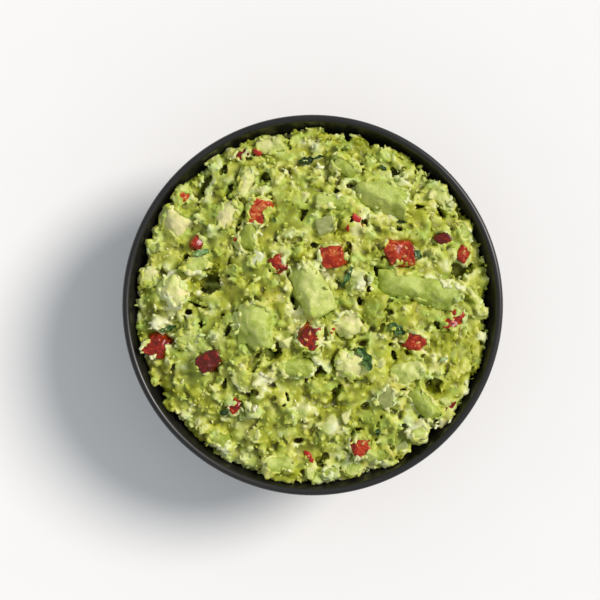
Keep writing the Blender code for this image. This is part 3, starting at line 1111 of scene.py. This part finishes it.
def build_seeds(pieces):
    """Flat seeds on the tomato."""
    ball, faces = unit_ball(3)
    dice = {block.number: (block, piece) for block, piece, _ in pieces if block.kind == "tomato"}
    points = []
    for number, x, y, turn in SEEDS:
        block, piece = dice[number]
        x, y = block.centre[0] + x, block.centre[1] + y
        z = height_at(piece, top_heights(piece), np.array(x), np.array(y))
        angle = math.radians(turn)
        along = ball[:, 0] * (SEED_LENGTH / 2)
        across = ball[:, 1] * (SEED_WIDTH / 2) * (1 - 0.35 * ball[:, 0])
        points.append(np.stack([
            x + along * math.cos(angle) - across * math.sin(angle),
            y + along * math.sin(angle) + across * math.cos(angle),
            z + 0.05 + SEED_HEIGHT / 2 * ball[:, 2],
        ], axis=1))
    keep(many_object("tomato_seeds", points, faces, seed_material()), "tomato")


def sheet_faces(rows, columns, first):
    """Triangles of a closed thin sheet whose upper points, row by row, come before the lower ones."""
    count = rows * columns
    quads = []
    for i in range(rows - 1):
        for j in range(columns - 1):
            a = i * columns + j
            quads.append((a, a + columns, a + columns + 1, a + 1))
            quads.append((count + a, count + a + 1, count + a + columns + 1, count + a + columns))
    border = list(range(columns))
    border += [i * columns + columns - 1 for i in range(1, rows)]
    border += [count - 1 - j for j in range(1, columns)]
    border += [i * columns for i in range(rows - 2, 0, -1)]
    for a, b in zip(border, border[1:] + border[:1]):
        quads.append((a, b, count + b, count + a))
    quads = np.array(quads) + first
    return np.concatenate([quads[:, [0, 1, 2]], quads[:, [0, 2, 3]]])


def build_leaves(field, tops):
    """Bits of herb leaf laid on the mash."""
    rng = np.random.default_rng(31)
    rows, columns = 19, 9
    u, v = np.meshgrid(np.linspace(0, 1, rows), np.linspace(-1, 1, columns), indexing="ij")
    points, faces, tints = [], [], []
    for x, y, length, width, turn, pale in LEAVES:
        lobes = 0.78 + 0.22 * np.cos(2 * math.pi * rng.uniform(1.6, 2.6) * u + rng.uniform(0, 6))
        outline = np.maximum(np.sin(math.pi * np.clip(u, 0.02, 0.98)) ** 0.55 * lobes, 0.08)
        bend = rng.uniform(-0.12, 0.12) * length
        along = (u - 0.5) * length
        across = v * outline * width / 2 + bend * (4 * (u - 0.5) ** 2)
        angle = math.radians(turn)
        px = x + along * math.cos(angle) - across * math.sin(angle)
        py = y + along * math.sin(angle) + across * math.cos(angle)
        lie = np.max([height_at(field, tops, px + a, py + b) for a in LEAF_FEET for b in LEAF_FEET], axis=0)
        curl = rng.uniform(0.1, 0.35) * width * v**2 + rng.uniform(0.0, 0.12) * length * (u - 0.5) ** 2
        upper = np.stack([px, py, lie + 0.2 + curl], axis=-1).reshape(-1, 3)
        faces.append(sheet_faces(rows, columns, len(points) * 2 * rows * columns))
        points.append(np.concatenate([upper, upper - (0, 0, LEAF_THICKNESS)]))
        tints.append(np.full(2 * rows * columns, pale))
    obj = mesh_object("herb_leaves", np.concatenate(points) * MM, np.concatenate(faces), leaf_material())
    add_attribute(obj, "tint", np.concatenate(tints))
    keep(obj, "mash")


# ---- scene


def build_floor():
    bpy.ops.mesh.primitive_plane_add(size=FLOOR_SIDE, location=(0, 0, FLOOR_Z))
    floor = bpy.context.object
    floor.name = "floor"
    floor.data.materials.append(floor_material())
    floor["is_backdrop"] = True


def add_key():
    """A large soft lamp, far enough away to light the floor evenly."""
    light = bpy.data.lights.new("key", "SUN")
    light.angle = math.radians(KEY_SPREAD)
    light.energy = KEY_STRENGTH
    light.color = srgb(KEY_COLOR)[:3]
    obj = place_object("key", light)
    obj.location = KEY_FROM
    obj.rotation_euler = Vector(KEY_FROM).to_track_quat("Z", "Y").to_euler()


def add_sky():
    world = bpy.data.worlds.new("studio")
    world.use_nodes = True
    set_inputs(world.node_tree.nodes["Background"], Color=srgb(SKY_COLOR), Strength=SKY_STRENGTH)
    bpy.context.scene.world = world
    bpy.context.scene.view_settings.view_transform = "Standard"


def add_camera():
    """Straight above, at the distance from which the plane of the rim is SPAN wide in the picture."""
    camera = bpy.data.cameras.new("camera")
    camera.lens = LENS
    camera.sensor_width = SENSOR
    camera.clip_end = FARTHEST
    obj = place_object("camera", camera)
    obj.location = (AIM[0] * MM, AIM[1] * MM, BOWL_HEIGHT * MM + SPAN * MM * LENS / SENSOR)
    bpy.context.scene.camera = obj


def main():
    build_floor()
    add_key()
    add_sky()
    add_camera()
    build_bowl()
    blocks = [Block(kind, k + 1) for kind, (looks, *_) in KINDS.items() for k in range(len(looks))]
    pieces = [(block, *shape_piece(block)) for block in blocks]
    field = build_mash(blocks, pieces)
    build_under()
    build_pieces(pieces)
    tops = top_heights(field)
    build_crumbs(field, blocks)
    build_bits(field, tops)
    build_seeds(pieces)
    build_leaves(field, tops)
    [[list(corner) for corner in box] for box in (CAD_BOX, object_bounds())]


main()
